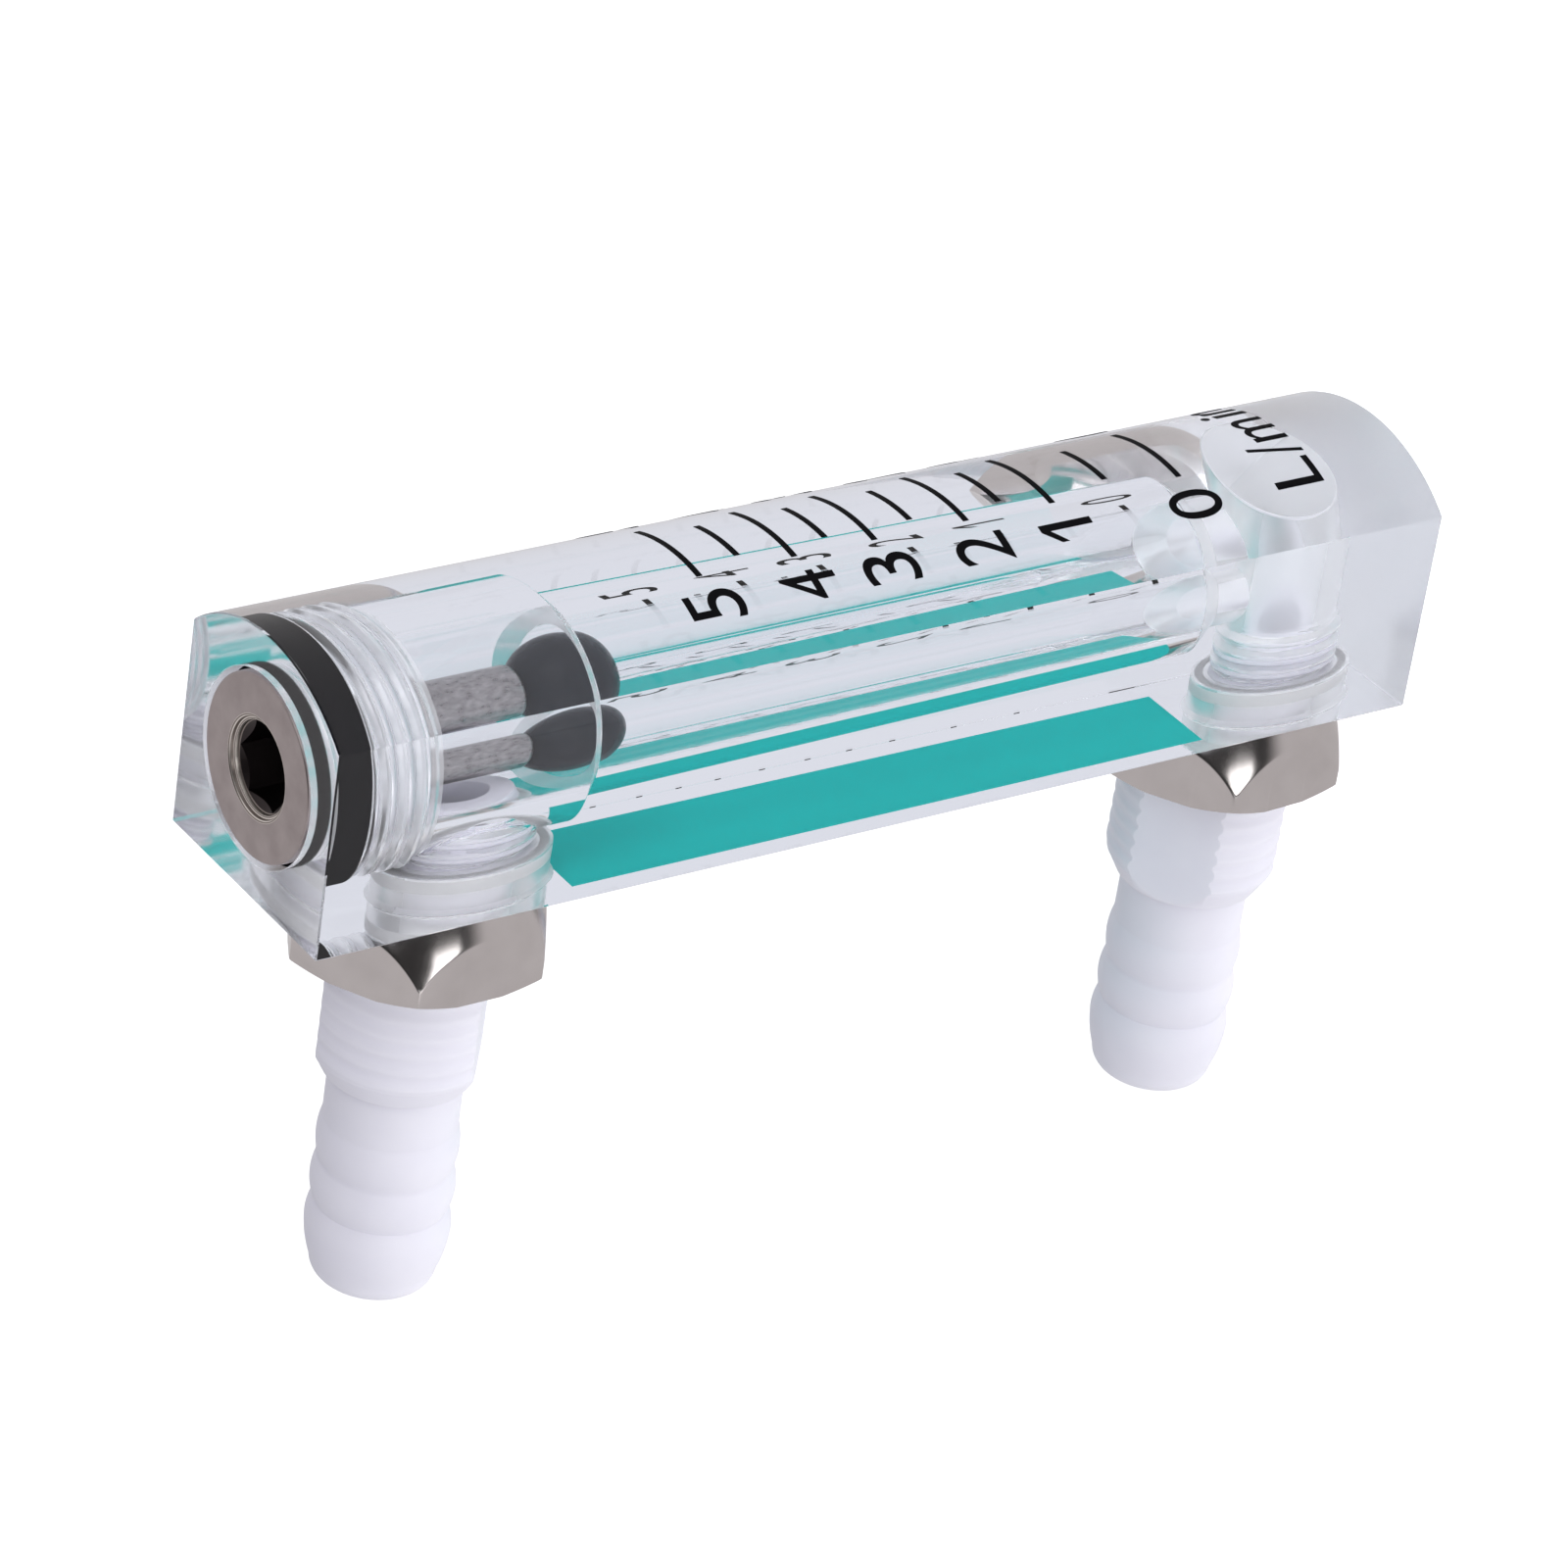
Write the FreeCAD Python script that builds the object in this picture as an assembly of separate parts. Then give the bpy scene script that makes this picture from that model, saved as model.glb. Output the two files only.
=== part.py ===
import FreeCAD, Part
import math
import os

# A panel-mounted variable-area flowmeter for oxygen. A clear block holds a tapered bore with
# a ball in it; a screwed plug closes the top, and two hose fittings stand out of the flat back.
# Frame: the origin is on the bore's centre line in the block's bottom face. +Z runs up the
# bore, +Y out of the flat back, and -Y out of the domed front that carries the scale.

# Clear block
block_height = 102.0
block_width = 21.0
back_distance = 10.5
flat_side_depth = 17.4
dome_rise = 4.1

# Metering bore: the ball's tapered tube between the wide upper chamber and the seat
chamber_diameter = 13.5
chamber_depth = 24.0
meter_bore_top_diameter = 10.0
meter_bore_bottom_diameter = 8.5
seat_hole_diameter = 4.7
seat_half_angle = 45.0
seat_rise = 9.75

# Screwed plug in the top of the bore
plug_head_diameter = 14.5
plug_head_clearance = 0.4
plug_head_thickness = 1.35
plug_head_chamfer = 0.25
plug_thread_diameter = 15.0
plug_thread_length = 5.15
plug_thread_runout = 0.8
plug_end_chamfer = 0.5
seal_groove_width = 3.1
seal_groove_diameter = 11.8
seal_edge_bevel = 0.12
socket_across_flats = 6.0
socket_depth = 4.5
socket_countersink_diameter = 8.0
socket_turn = 0.0
drill_point_angle = 118.0

# Stop pin under the plug, and the ball that it stops
pin_diameter = 4.65
pin_projection = 11.6
pin_hole_depth = 2.2
pin_tip_chamfer = 0.3
ball_diameter = 8.3
ball_stop_gap = 0.1

# Threaded ports in the back
inlet_height = 10.25
outlet_plug_gap = 0.15
port_thread_diameter = 12.0
port_thread_depth = 8.0
port_drill_diameter = 10.5
inlet_drill_depth = 15.5
counterbore_depth = 3.0
counterbore_chamfer = 0.4

# Hose fittings, sealed on the counterbore floors by rings squeezed to a given height
fitting_seal_width = 1.5
fitting_seal_height = 1.7
fitting_seal_slack = 0.1
fitting_seal_bulge = 0.4
stub_length = 5.3
shank_diameter = 14.0
shank_reach = 19.5
shank_chamfer_depth = 1.2
shank_chamfer_length = 1.8
shoulder_length = 3.3
flats_across = 12.0
outlet_flats_turn = 51.0
inlet_flats_turn = 126.0
neck_diameter = 10.4
neck_length = 4.0
ridge_count = 3
ridge_diameter = 11.4
ridge_pitch = 3.8
ridge_land = 0.8
notch_diameter = 10.5
nose_length = 4.7
nose_end_diameter = 10.0
nose_tip_round = 1.6
passage_diameter = 6.5

# Hexagon nuts on the shanks, coned on the side that meets the block
nut_across_flats = 19.0
nut_thickness = 7.9
nut_face_diameter = 16.4
nut_cone_half_angle = 25.5
nut_back_circle = 19.4
nut_back_angle = 30.0
nut_mouth_chamfer = 0.5
outlet_nut_turn = 30.0
inlet_nut_turn = 32.5

# Coloured band on the back and black scale marks on the dome
stripe_width = 14.0
stripe_above_inlet = 8.95
stripe_below_outlet = 7.65
stripe_nut_clearance = 0.3
print_thickness = 0.1
mark_width = 0.5
scale_zero_rise = 1.6
scale_length = 45.1
scale_mark_shares = (0.0, 0.139, 0.273, 0.366, 0.455, 0.552, 0.645, 0.727, 0.809, 0.905, 1.0)
major_mark_start = -3.0
major_mark_end = 5.5
minor_mark_start = -1.6
minor_mark_end = 3.9

# Places worked out from the sizes above
overrun = 1.0
block_top = block_height
flat_side_front = back_distance - flat_side_depth
dome_front = flat_side_front - dome_rise
dome_radius = (block_width ** 2 / 4 + dome_rise ** 2) / (2 * dome_rise)
dome_centre = dome_front + dome_radius

rim_radius = plug_head_diameter / 2 + plug_head_clearance
groove_top = block_top - plug_head_thickness
groove_bottom = groove_top - seal_groove_width
plug_bottom = groove_bottom - plug_thread_length
plug_thread_end = plug_bottom - plug_thread_runout
drill_point_slope = math.tan(math.radians(90 - drill_point_angle / 2))
chamber_floor = block_top - chamber_depth
chamber_floor_rim = (chamber_diameter - meter_bore_top_diameter) / 2
chamber_point_depth = chamber_floor_rim * drill_point_slope
meter_bore_bottom = inlet_height + seat_rise
seat_depth = (meter_bore_bottom_diameter - seat_hole_diameter) / 2 / math.tan(math.radians(seat_half_angle))

outlet_height = plug_bottom - outlet_plug_gap - port_thread_diameter / 2
counterbore_diameter = port_thread_diameter + 2 * fitting_seal_width
counterbore_floor = back_distance - counterbore_depth
port_thread_end = back_distance - port_thread_depth
inlet_drill_end = back_distance - inlet_drill_depth
outlet_drill_end = 0.0

pin_tip = plug_bottom - pin_projection
ball_height = pin_tip - ball_stop_gap - ball_diameter / 2

fitting_shoulder = counterbore_floor + fitting_seal_height
stub_end = fitting_shoulder - stub_length
flats_start = fitting_shoulder + shoulder_length
shank_end = back_distance + shank_reach
first_ridge = shank_end + neck_length + ridge_pitch / 2 + ridge_land / 2
last_ridge = first_ridge + (ridge_count - 1) * ridge_pitch
nose_start = last_ridge + ridge_land / 2
nose_end = nose_start + nose_length

stripe_bottom = inlet_height + stripe_above_inlet
stripe_top = outlet_height - stripe_below_outlet
scale_zero_height = meter_bore_bottom + scale_zero_rise


def about_z(radius, height):
    return FreeCAD.Vector(radius, 0, height)


def at_port(height):
    def place(radius, depth):
        return FreeCAD.Vector(radius, depth, height)
    return place


def closed_face(place, start, steps):
    # A step is an end point, or the middle and end points of an arc.
    edges = []
    here = start
    for step in steps:
        is_arc = isinstance(step[0], tuple)
        end = step[1] if is_arc else step
        if is_arc:
            curve = Part.Arc(place(*here), place(*step[0]), place(*end))
        else:
            curve = Part.LineSegment(place(*here), place(*end))
        edges.append(curve.toShape())
        here = end
    if here != start:
        edges.append(Part.LineSegment(place(*here), place(*start)).toShape())
    return Part.Face(Part.Wire(edges))


def turned_z(start, steps):
    face = closed_face(about_z, start, steps)
    return face.revolve(FreeCAD.Vector(0, 0, 0), FreeCAD.Vector(0, 0, 1), 360)


def turned_at_port(height, start, steps):
    face = closed_face(at_port(height), start, steps)
    return face.revolve(FreeCAD.Vector(0, 0, height), FreeCAD.Vector(0, 1, 0), 360)


def hexagon_points(across_flats, turn, place):
    corner_radius = across_flats / 2 / math.cos(math.radians(30))
    points = []
    for corner in range(7):
        angle = math.radians(turn + 60 * corner)
        points.append(place(corner_radius * math.cos(angle), corner_radius * math.sin(angle)))
    return points


def dome_prism(radius, bottom, height):
    circle = Part.Circle(FreeCAD.Vector(0, dome_centre, bottom), FreeCAD.Vector(0, 0, 1), radius)
    disc = Part.Face(Part.Wire(circle.toShape()))
    return disc.extrude(FreeCAD.Vector(0, 0, height))


def bore_cutter():
    wall_steps = [
        (rim_radius, block_top + overrun),
        (rim_radius, groove_bottom),
        (plug_thread_diameter / 2, groove_bottom),
        (plug_thread_diameter / 2, plug_thread_end),
        (chamber_diameter / 2, plug_thread_end),
        (chamber_diameter / 2, chamber_floor),
        (meter_bore_top_diameter / 2, chamber_floor - chamber_point_depth),
        (meter_bore_bottom_diameter / 2, meter_bore_bottom),
        (seat_hole_diameter / 2, meter_bore_bottom - seat_depth),
        (seat_hole_diameter / 2, inlet_height),
        (0, inlet_height),
    ]
    return turned_z((0, block_top + overrun), wall_steps)


def port_cutter(height, drill_end):
    mouth_radius = counterbore_diameter / 2 + counterbore_chamfer
    wall_steps = [
        (mouth_radius, back_distance + overrun),
        (mouth_radius, back_distance),
        (counterbore_diameter / 2, back_distance - counterbore_chamfer),
        (counterbore_diameter / 2, counterbore_floor),
        (port_thread_diameter / 2, counterbore_floor),
        (port_thread_diameter / 2, port_thread_end),
        (port_drill_diameter / 2, port_thread_end),
        (port_drill_diameter / 2, drill_end),
        (0, drill_end),
    ]
    return turned_at_port(height, (0, back_distance + overrun), wall_steps)


def make_block():
    half_width = block_width / 2
    back_left = FreeCAD.Vector(-half_width, back_distance, 0)
    back_right = FreeCAD.Vector(half_width, back_distance, 0)
    front_right = FreeCAD.Vector(half_width, flat_side_front, 0)
    front_middle = FreeCAD.Vector(0, dome_front, 0)
    front_left = FreeCAD.Vector(-half_width, flat_side_front, 0)
    section = Part.Wire([
        Part.LineSegment(back_left, back_right).toShape(),
        Part.LineSegment(back_right, front_right).toShape(),
        Part.Arc(front_right, front_middle, front_left).toShape(),
        Part.LineSegment(front_left, back_left).toShape(),
    ])
    block = Part.Face(section).extrude(FreeCAD.Vector(0, 0, block_height))
    block = block.cut(bore_cutter())
    block = block.cut(port_cutter(inlet_height, inlet_drill_end))
    return block.cut(port_cutter(outlet_height, outlet_drill_end))


def make_end_plug():
    head_radius = plug_head_diameter / 2
    thread_radius = plug_thread_diameter / 2
    groove_radius = seal_groove_diameter / 2
    countersink_radius = socket_countersink_diameter / 2
    socket_radius = socket_across_flats / 2
    point_depth = socket_radius * drill_point_slope
    plug = turned_z((0, block_top), [
        (head_radius - plug_head_chamfer, block_top),
        (head_radius, block_top - plug_head_chamfer),
        (head_radius, groove_top),
        (groove_radius, groove_top),
        (groove_radius, groove_bottom),
        (thread_radius, groove_bottom),
        (thread_radius, plug_bottom + plug_end_chamfer),
        (thread_radius - plug_end_chamfer, plug_bottom),
        (pin_diameter / 2, plug_bottom),
        (pin_diameter / 2, plug_bottom + pin_hole_depth),
        (0, plug_bottom + pin_hole_depth),
    ])
    socket_floor = block_top - socket_depth
    corners = hexagon_points(socket_across_flats, socket_turn,
                             lambda x, y: FreeCAD.Vector(x, y, socket_floor))
    hexagon = Part.Face(Part.makePolygon(corners))
    plug = plug.cut(hexagon.extrude(FreeCAD.Vector(0, 0, socket_depth + overrun)))
    drill_tip = FreeCAD.Vector(0, 0, socket_floor - point_depth)
    plug = plug.cut(Part.makeCone(0, socket_radius, point_depth, drill_tip))
    sink_radius = countersink_radius + overrun
    sink_tip = FreeCAD.Vector(0, 0, block_top - countersink_radius)
    return plug.cut(Part.makeCone(0, sink_radius, sink_radius, sink_tip))


def make_plug_seal():
    inner = seal_groove_diameter / 2
    return turned_z((inner, groove_bottom), [
        (rim_radius - seal_edge_bevel, groove_bottom),
        (rim_radius, groove_bottom + seal_edge_bevel),
        (rim_radius, groove_top - seal_edge_bevel),
        (rim_radius - seal_edge_bevel, groove_top),
        (inner, groove_top),
    ])


def make_stop_pin():
    radius = pin_diameter / 2
    pin_top = plug_bottom + pin_hole_depth
    return turned_z((0, pin_tip), [
        (radius - pin_tip_chamfer, pin_tip),
        (radius, pin_tip + pin_tip_chamfer),
        (radius, pin_top),
        (0, pin_top),
    ])


def make_float_ball():
    return Part.makeSphere(ball_diameter / 2, FreeCAD.Vector(0, 0, ball_height))


def ridge_steps():
    # Each ridge has a narrow land between two flanks that rise from the notches beside it.
    crest = ridge_diameter / 2
    notch = notch_diameter / 2
    shoulder = crest - (crest - notch) / 4
    steps = []
    for ridge in range(ridge_count):
        middle = first_ridge + ridge * ridge_pitch
        land_start = middle - ridge_land / 2
        land_end = middle + ridge_land / 2
        notch_before = middle - ridge_pitch / 2
        notch_after = middle + ridge_pitch / 2
        flank_before = (notch_before + land_start) / 2
        flank_after = (land_end + notch_after) / 2
        steps += [(shoulder, flank_before), (crest, land_start), (crest, land_end)]
        if ridge < ridge_count - 1:
            steps += [(shoulder, flank_after), (notch, notch_after)]
    return steps


def make_fitting(height, flats_turn):
    shank = shank_diameter / 2
    neck = neck_diameter / 2
    notch = notch_diameter / 2
    crest = ridge_diameter / 2
    nose = nose_end_diameter / 2
    passage = passage_diameter / 2
    stub = port_thread_diameter / 2
    nose_shoulder = nose_end - nose_tip_round
    nose_middle = (nose_start + nose_shoulder) / 2
    nose_swell = (crest + nose) / 2 + (crest - nose) / 6
    tip_radius = nose - nose_tip_round
    tip_lean = nose_tip_round * math.sqrt(0.5)
    steps = [
        (stub, stub_end),
        (stub, fitting_shoulder),
        (shank, fitting_shoulder),
        (shank, shank_end - shank_chamfer_length),
        (shank - shank_chamfer_depth, shank_end),
        (neck, shank_end),
        (neck, first_ridge - ridge_pitch / 2 - (notch - neck)),
        (notch, first_ridge - ridge_pitch / 2),
    ]
    steps += ridge_steps()
    steps += [
        ((nose_swell, nose_middle), (nose, nose_shoulder)),
        ((tip_radius + tip_lean, nose_shoulder + tip_lean), (tip_radius, nose_end)),
        (passage, nose_end),
    ]
    fitting = turned_at_port(height, (passage, stub_end), steps)
    for side in (1, -1):
        fitting = fitting.cut(flat_cutter(height, flats_turn, side))
    return fitting


def flat_cutter(height, turn, side):
    depth = shank_diameter
    corner = FreeCAD.Vector(flats_across / 2, flats_start, -depth)
    slab = Part.makeBox(depth, shank_end - flats_start, 2 * depth, corner)
    angle = turn if side > 0 else turn + 180
    slab.rotate(FreeCAD.Vector(0, 0, 0), FreeCAD.Vector(0, -1, 0), angle)
    slab.translate(FreeCAD.Vector(0, 0, height))
    return slab


def make_fitting_seal(height):
    inner = port_thread_diameter / 2 + fitting_seal_slack
    outer = counterbore_diameter / 2 - fitting_seal_slack
    bulge = fitting_seal_bulge
    return turned_at_port(height, (inner + bulge, counterbore_floor), [
        (outer - bulge, counterbore_floor),
        (outer, counterbore_floor + bulge),
        (outer, fitting_shoulder - bulge),
        (outer - bulge, fitting_shoulder),
        (inner + bulge, fitting_shoulder),
        (inner, fitting_shoulder - bulge),
        (inner, counterbore_floor + bulge),
    ])


def make_nut(height, turn):
    bore = shank_diameter / 2
    face = nut_face_diameter / 2
    circle = nut_back_circle / 2
    corner = nut_across_flats / 2 / math.cos(math.radians(30)) + overrun
    near = back_distance
    far = back_distance + nut_thickness
    cone_end = near + (corner - face) / math.tan(math.radians(nut_cone_half_angle))
    back_start = far - (corner - circle) * math.tan(math.radians(nut_back_angle))
    turned = turned_at_port(height, (bore + nut_mouth_chamfer, near), [
        (face, near),
        (corner, cone_end),
        (corner, max(back_start, cone_end + nut_mouth_chamfer)),
        (circle, far),
        (bore + nut_mouth_chamfer, far),
        (bore, far - nut_mouth_chamfer),
        (bore, near + nut_mouth_chamfer),
    ])
    corners = hexagon_points(nut_across_flats, turn,
                             lambda x, z: FreeCAD.Vector(x, near, height + z))
    hexagon = Part.Face(Part.makePolygon(corners)).extrude(FreeCAD.Vector(0, nut_thickness, 0))
    return turned.common(hexagon)


def make_back_stripe():
    length = stripe_top - stripe_bottom
    corner = FreeCAD.Vector(-stripe_width / 2, back_distance, stripe_bottom)
    stripe = Part.makeBox(stripe_width, print_thickness, length, corner)
    clear_radius = nut_face_diameter / 2 + stripe_nut_clearance
    for height in (inlet_height, outlet_height):
        ring_centre = FreeCAD.Vector(0, back_distance - overrun, height)
        ring = Part.makeCylinder(clear_radius, 2 * overrun, ring_centre, FreeCAD.Vector(0, 1, 0))
        stripe = stripe.cut(ring)
    return stripe


def make_scale_mark(height, start, end):
    bottom = height - mark_width / 2
    film = dome_prism(dome_radius + print_thickness, bottom, mark_width)
    film = film.cut(dome_prism(dome_radius, bottom - overrun, mark_width + 2 * overrun))
    depth = 2 * dome_radius
    window = Part.makeBox(end - start, depth, mark_width, FreeCAD.Vector(start, dome_centre - depth, bottom))
    return film.common(window)


def make_scale_marks():
    marks = []
    for index, share in enumerate(scale_mark_shares):
        height = scale_zero_height + share * scale_length
        if index % 2 == 0:
            marks.append(make_scale_mark(height, major_mark_start, major_mark_end))
        else:
            marks.append(make_scale_mark(height, minor_mark_start, minor_mark_end))
    return Part.makeCompound(marks)


pieces = {
    "flowmeter_block": make_block(),
    "end_plug": make_end_plug(),
    "plug_o_ring": make_plug_seal(),
    "stop_pin": make_stop_pin(),
    "float_ball": make_float_ball(),
    "outlet_fitting": make_fitting(outlet_height, outlet_flats_turn),
    "inlet_fitting": make_fitting(inlet_height, inlet_flats_turn),
    "outlet_o_ring": make_fitting_seal(outlet_height),
    "inlet_o_ring": make_fitting_seal(inlet_height),
    "outlet_nut": make_nut(outlet_height, outlet_nut_turn),
    "inlet_nut": make_nut(inlet_height, inlet_nut_turn),
    "back_stripe": make_back_stripe(),
    "scale_graduations": make_scale_marks(),
}

os.makedirs("parts", exist_ok=True)
for name, shape in pieces.items():
    shape.exportStep("parts/" + name + ".step")
    print(name, "solids", len(shape.Solids), "valid", shape.isValid(), "volume", round(shape.Volume, 2))
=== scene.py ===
import bmesh
import bpy
import math
from mathutils import Matrix, Vector


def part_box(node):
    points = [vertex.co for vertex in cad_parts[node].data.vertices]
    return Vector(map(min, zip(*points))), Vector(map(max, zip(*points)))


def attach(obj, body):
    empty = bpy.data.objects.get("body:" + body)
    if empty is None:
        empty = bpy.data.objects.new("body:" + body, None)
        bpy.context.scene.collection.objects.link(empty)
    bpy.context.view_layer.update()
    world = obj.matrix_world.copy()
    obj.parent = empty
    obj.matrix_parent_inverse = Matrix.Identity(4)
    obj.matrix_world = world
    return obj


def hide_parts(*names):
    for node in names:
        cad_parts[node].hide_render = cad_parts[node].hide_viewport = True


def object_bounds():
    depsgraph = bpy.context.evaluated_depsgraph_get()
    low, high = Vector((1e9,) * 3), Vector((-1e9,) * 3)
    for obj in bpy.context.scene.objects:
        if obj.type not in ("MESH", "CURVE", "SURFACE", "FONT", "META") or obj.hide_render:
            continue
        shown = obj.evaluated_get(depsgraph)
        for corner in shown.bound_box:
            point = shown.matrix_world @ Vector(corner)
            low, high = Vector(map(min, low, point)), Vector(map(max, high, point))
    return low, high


# A clear block flowmeter. Sizes are in millimetres, and become metres as each mesh is made.
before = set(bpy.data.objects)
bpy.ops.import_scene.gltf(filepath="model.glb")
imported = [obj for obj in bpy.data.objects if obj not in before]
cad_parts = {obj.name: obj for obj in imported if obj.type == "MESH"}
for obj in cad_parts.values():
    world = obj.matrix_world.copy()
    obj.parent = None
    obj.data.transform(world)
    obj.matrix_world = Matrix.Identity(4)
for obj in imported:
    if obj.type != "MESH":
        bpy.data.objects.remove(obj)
cad_low, cad_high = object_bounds()
MM = 0.001
METER = "meter"
FLOAT = "float"


def node_box(name):
    low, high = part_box(name)
    return low / MM, high / MM


block_low, block_high = node_box("flowmeter_block")
plug_low, plug_high = node_box("end_plug")
seal_low, seal_high = node_box("plug_o_ring")
pin_low, pin_high = node_box("stop_pin")
ball_low, ball_high = node_box("float_ball")
stripe_low, stripe_high = node_box("back_stripe")
port_heights = {}
for side in ("outlet", "inlet"):
    low, high = node_box(side + "_fitting")
    port_heights[side] = (low.z + high.z) / 2
fitting_low, fitting_high = node_box("outlet_fitting")
ring_low, ring_high = node_box("outlet_o_ring")
nut_low, nut_high = node_box("outlet_nut")

# Block section and bores, as machined
flat_side_depth = 17.4
chamber_depth = 24.0
bore_length = 58.0
port_thread_depth = 8.0
inlet_drill_depth = 15.5
thread_runout = 0.8
drill_half_angle = math.radians(59)
back_face = block_high.y
side_front = back_face - flat_side_depth
dome_front = block_low.y
half_width = block_high.x
dome_rise = side_front - dome_front
dome_radius = (half_width ** 2 + dome_rise ** 2) / (2 * dome_rise)
dome_centre = dome_front + dome_radius
edge_bevel = 0.12
rim_radius = 7.62
plug_pitch = 1.5
port_pitch = 1.25
shank_pitch = 1.5
chamber_radius = 6.75
chamber_floor = block_high.z - chamber_depth
plug_thread_end = plug_low.z - thread_runout
bore_bottom = chamber_floor - bore_length
bore_top_radius = 5.0
bore_bottom_radius = 4.25
drill_point = (chamber_radius - bore_top_radius) / math.tan(drill_half_angle)
seat_radius = 2.35
seat_bottom = bore_bottom - (bore_bottom_radius - seat_radius)
port_drill_radius = 5.25
port_thread_radius = 6.0
port_thread_end = back_face - port_thread_depth
inlet_drill_end = back_face - inlet_drill_depth
counterbore_radius = 7.5
counterbore_floor = ring_low.y
mouth_chamfer = 0.4
groove_radius = 5.9

# How far a cutting tool reaches past the face that it opens
overrun = 1.0

# Running clearance between the threads of two pieces
thread_gap = 0.06


# Outlines: lists of (radius, station) points that a lathe turns

def arc_points(start, middle, end, count):
    """Points on the arc through three points, without its start."""
    (ax, ay), (bx, by), (cx, cy) = start, middle, end
    d = 2 * (ax * (by - cy) + bx * (cy - ay) + cx * (ay - by))
    a2, b2, c2 = ax * ax + ay * ay, bx * bx + by * by, cx * cx + cy * cy
    ux = (a2 * (by - cy) + b2 * (cy - ay) + c2 * (ay - by)) / d
    uy = (a2 * (cx - bx) + b2 * (ax - cx) + c2 * (bx - ax)) / d
    radius = math.hypot(ax - ux, ay - uy)
    first = math.atan2(ay - uy, ax - ux)
    turn_middle = (math.atan2(by - uy, bx - ux) - first) % math.tau
    turn_end = (math.atan2(cy - uy, cx - ux) - first) % math.tau
    if turn_middle > turn_end:
        turn_end -= math.tau
    turns = [first + turn_end * step / count for step in range(1, count + 1)]
    return [(ux + radius * math.cos(turn), uy + radius * math.sin(turn)) for turn in turns]


def rounded(corners, steps=4):
    """Eases corners given as (radius, station, rounding): a curve takes the corner's place."""
    path = []
    for index, (radius, station, size) in enumerate(corners):
        here = Vector((radius, station))
        if size == 0 or index in (0, len(corners) - 1):
            path.append((radius, station))
            continue
        back = Vector(corners[index - 1][:2]) - here
        ahead = Vector(corners[index + 1][:2]) - here
        reach = min(size, 0.45 * back.length, 0.45 * ahead.length)
        first = here + back.normalized() * reach
        last = here + ahead.normalized() * reach
        for step in range(steps + 1):
            t = step / steps
            point = first * (1 - t) ** 2 + here * (2 * t * (1 - t)) + last * t ** 2
            path.append((point.x, point.y))
    return path


def smooth_share(value, width):
    t = max(0.0, min(1.0, value / width))
    return t * t * (3 - 2 * t)


class Thread:
    """A screw thread between two stations: its crests run out to the inner radius at both ends."""

    flank_slope = 1.45

    def __init__(self, pitch, low, high, inner, outer, fade_low=0.9, fade_high=0.9, steps=10):
        self.pitch = pitch
        self.low, self.high = low, high
        self.inner, self.outer = inner, outer
        self.fade_low, self.fade_high = fade_low, fade_high
        self.steps = steps
        self.slots = steps * (math.ceil((high - low) / pitch) + 1) + steps + 1

    def point(self, slot, turn):
        slot -= self.steps
        station = self.low + (slot / self.steps + turn) * self.pitch
        station = max(self.low, min(self.high, station))
        share = (slot % self.steps) / self.steps
        wave = max(0.0, min(1.0, 0.5 + self.flank_slope * (0.5 - abs(2 * share - 1))))
        # The crest and the root are half eased, so that the flanks stay nearly straight.
        wave = smooth_share(wave, 1.0) * 0.5 + wave * 0.5
        fade_in = smooth_share(station - self.low, self.fade_low)
        fade_out = smooth_share(self.high - station, self.fade_high)
        return self.inner + (self.outer - self.inner) * wave * (fade_in * fade_out), station


# Meshes

def about_z(radius, station, angle):
    return radius * math.cos(angle), radius * math.sin(angle), station


def about_port(height):
    def place(radius, station, angle):
        return radius * math.cos(angle), station, height + radius * math.sin(angle)
    return place


def lathe(profile, place, segments=192, closed=False):
    """A bmesh turned from a profile of points and threads; a closed profile makes a ring."""
    # Each row holds its item, its slot and the row that it joins at the seam, where a thread
    # has climbed by one pitch.
    rows = []
    for item in profile:
        if isinstance(item, Thread):
            first = len(rows)
            last = first + item.slots - 1
            for slot in range(item.slots):
                rows.append((item, slot, min(last, first + slot + item.steps)))
        else:
            rows.append((item, None, len(rows)))
    mesh = bmesh.new()
    grid = []
    for column in range(segments):
        turn = column / segments
        line = []
        for item, slot, _ in rows:
            radius, station = item if slot is None else item.point(slot, turn)
            line.append(mesh.verts.new(Vector(place(radius, station, turn * math.tau)) * MM))
        grid.append(line)
    count = len(rows)
    for column in range(segments):
        here = grid[column]
        seam = column == segments - 1
        there = grid[(column + 1) % segments]
        for row in range(count if closed else count - 1):
            after = (row + 1) % count
            a, b = here[row], here[after]
            c = there[rows[after][2]] if seam else there[after]
            d = there[rows[row][2]] if seam else there[row]
            corners = []
            for vertex in (a, b, c, d):
                if vertex not in corners:
                    corners.append(vertex)
            if len(corners) > 2 and mesh.faces.get(corners) is None:
                mesh.faces.new(corners)
    bmesh.ops.remove_doubles(mesh, verts=mesh.verts, dist=1e-7)
    bmesh.ops.dissolve_degenerate(mesh, edges=mesh.edges, dist=1e-8)
    bmesh.ops.recalc_face_normals(mesh, faces=mesh.faces)
    return mesh


def to_object(mesh, name):
    data = bpy.data.meshes.new(name)
    mesh.to_mesh(data)
    mesh.free()
    piece = bpy.data.objects.new(name, data)
    bpy.context.scene.collection.objects.link(piece)
    return piece


def apply_modifiers(piece):
    graph = bpy.context.evaluated_depsgraph_get()
    result = bpy.data.meshes.new_from_object(piece.evaluated_get(graph))
    piece.modifiers.clear()
    piece.data = result


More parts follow.
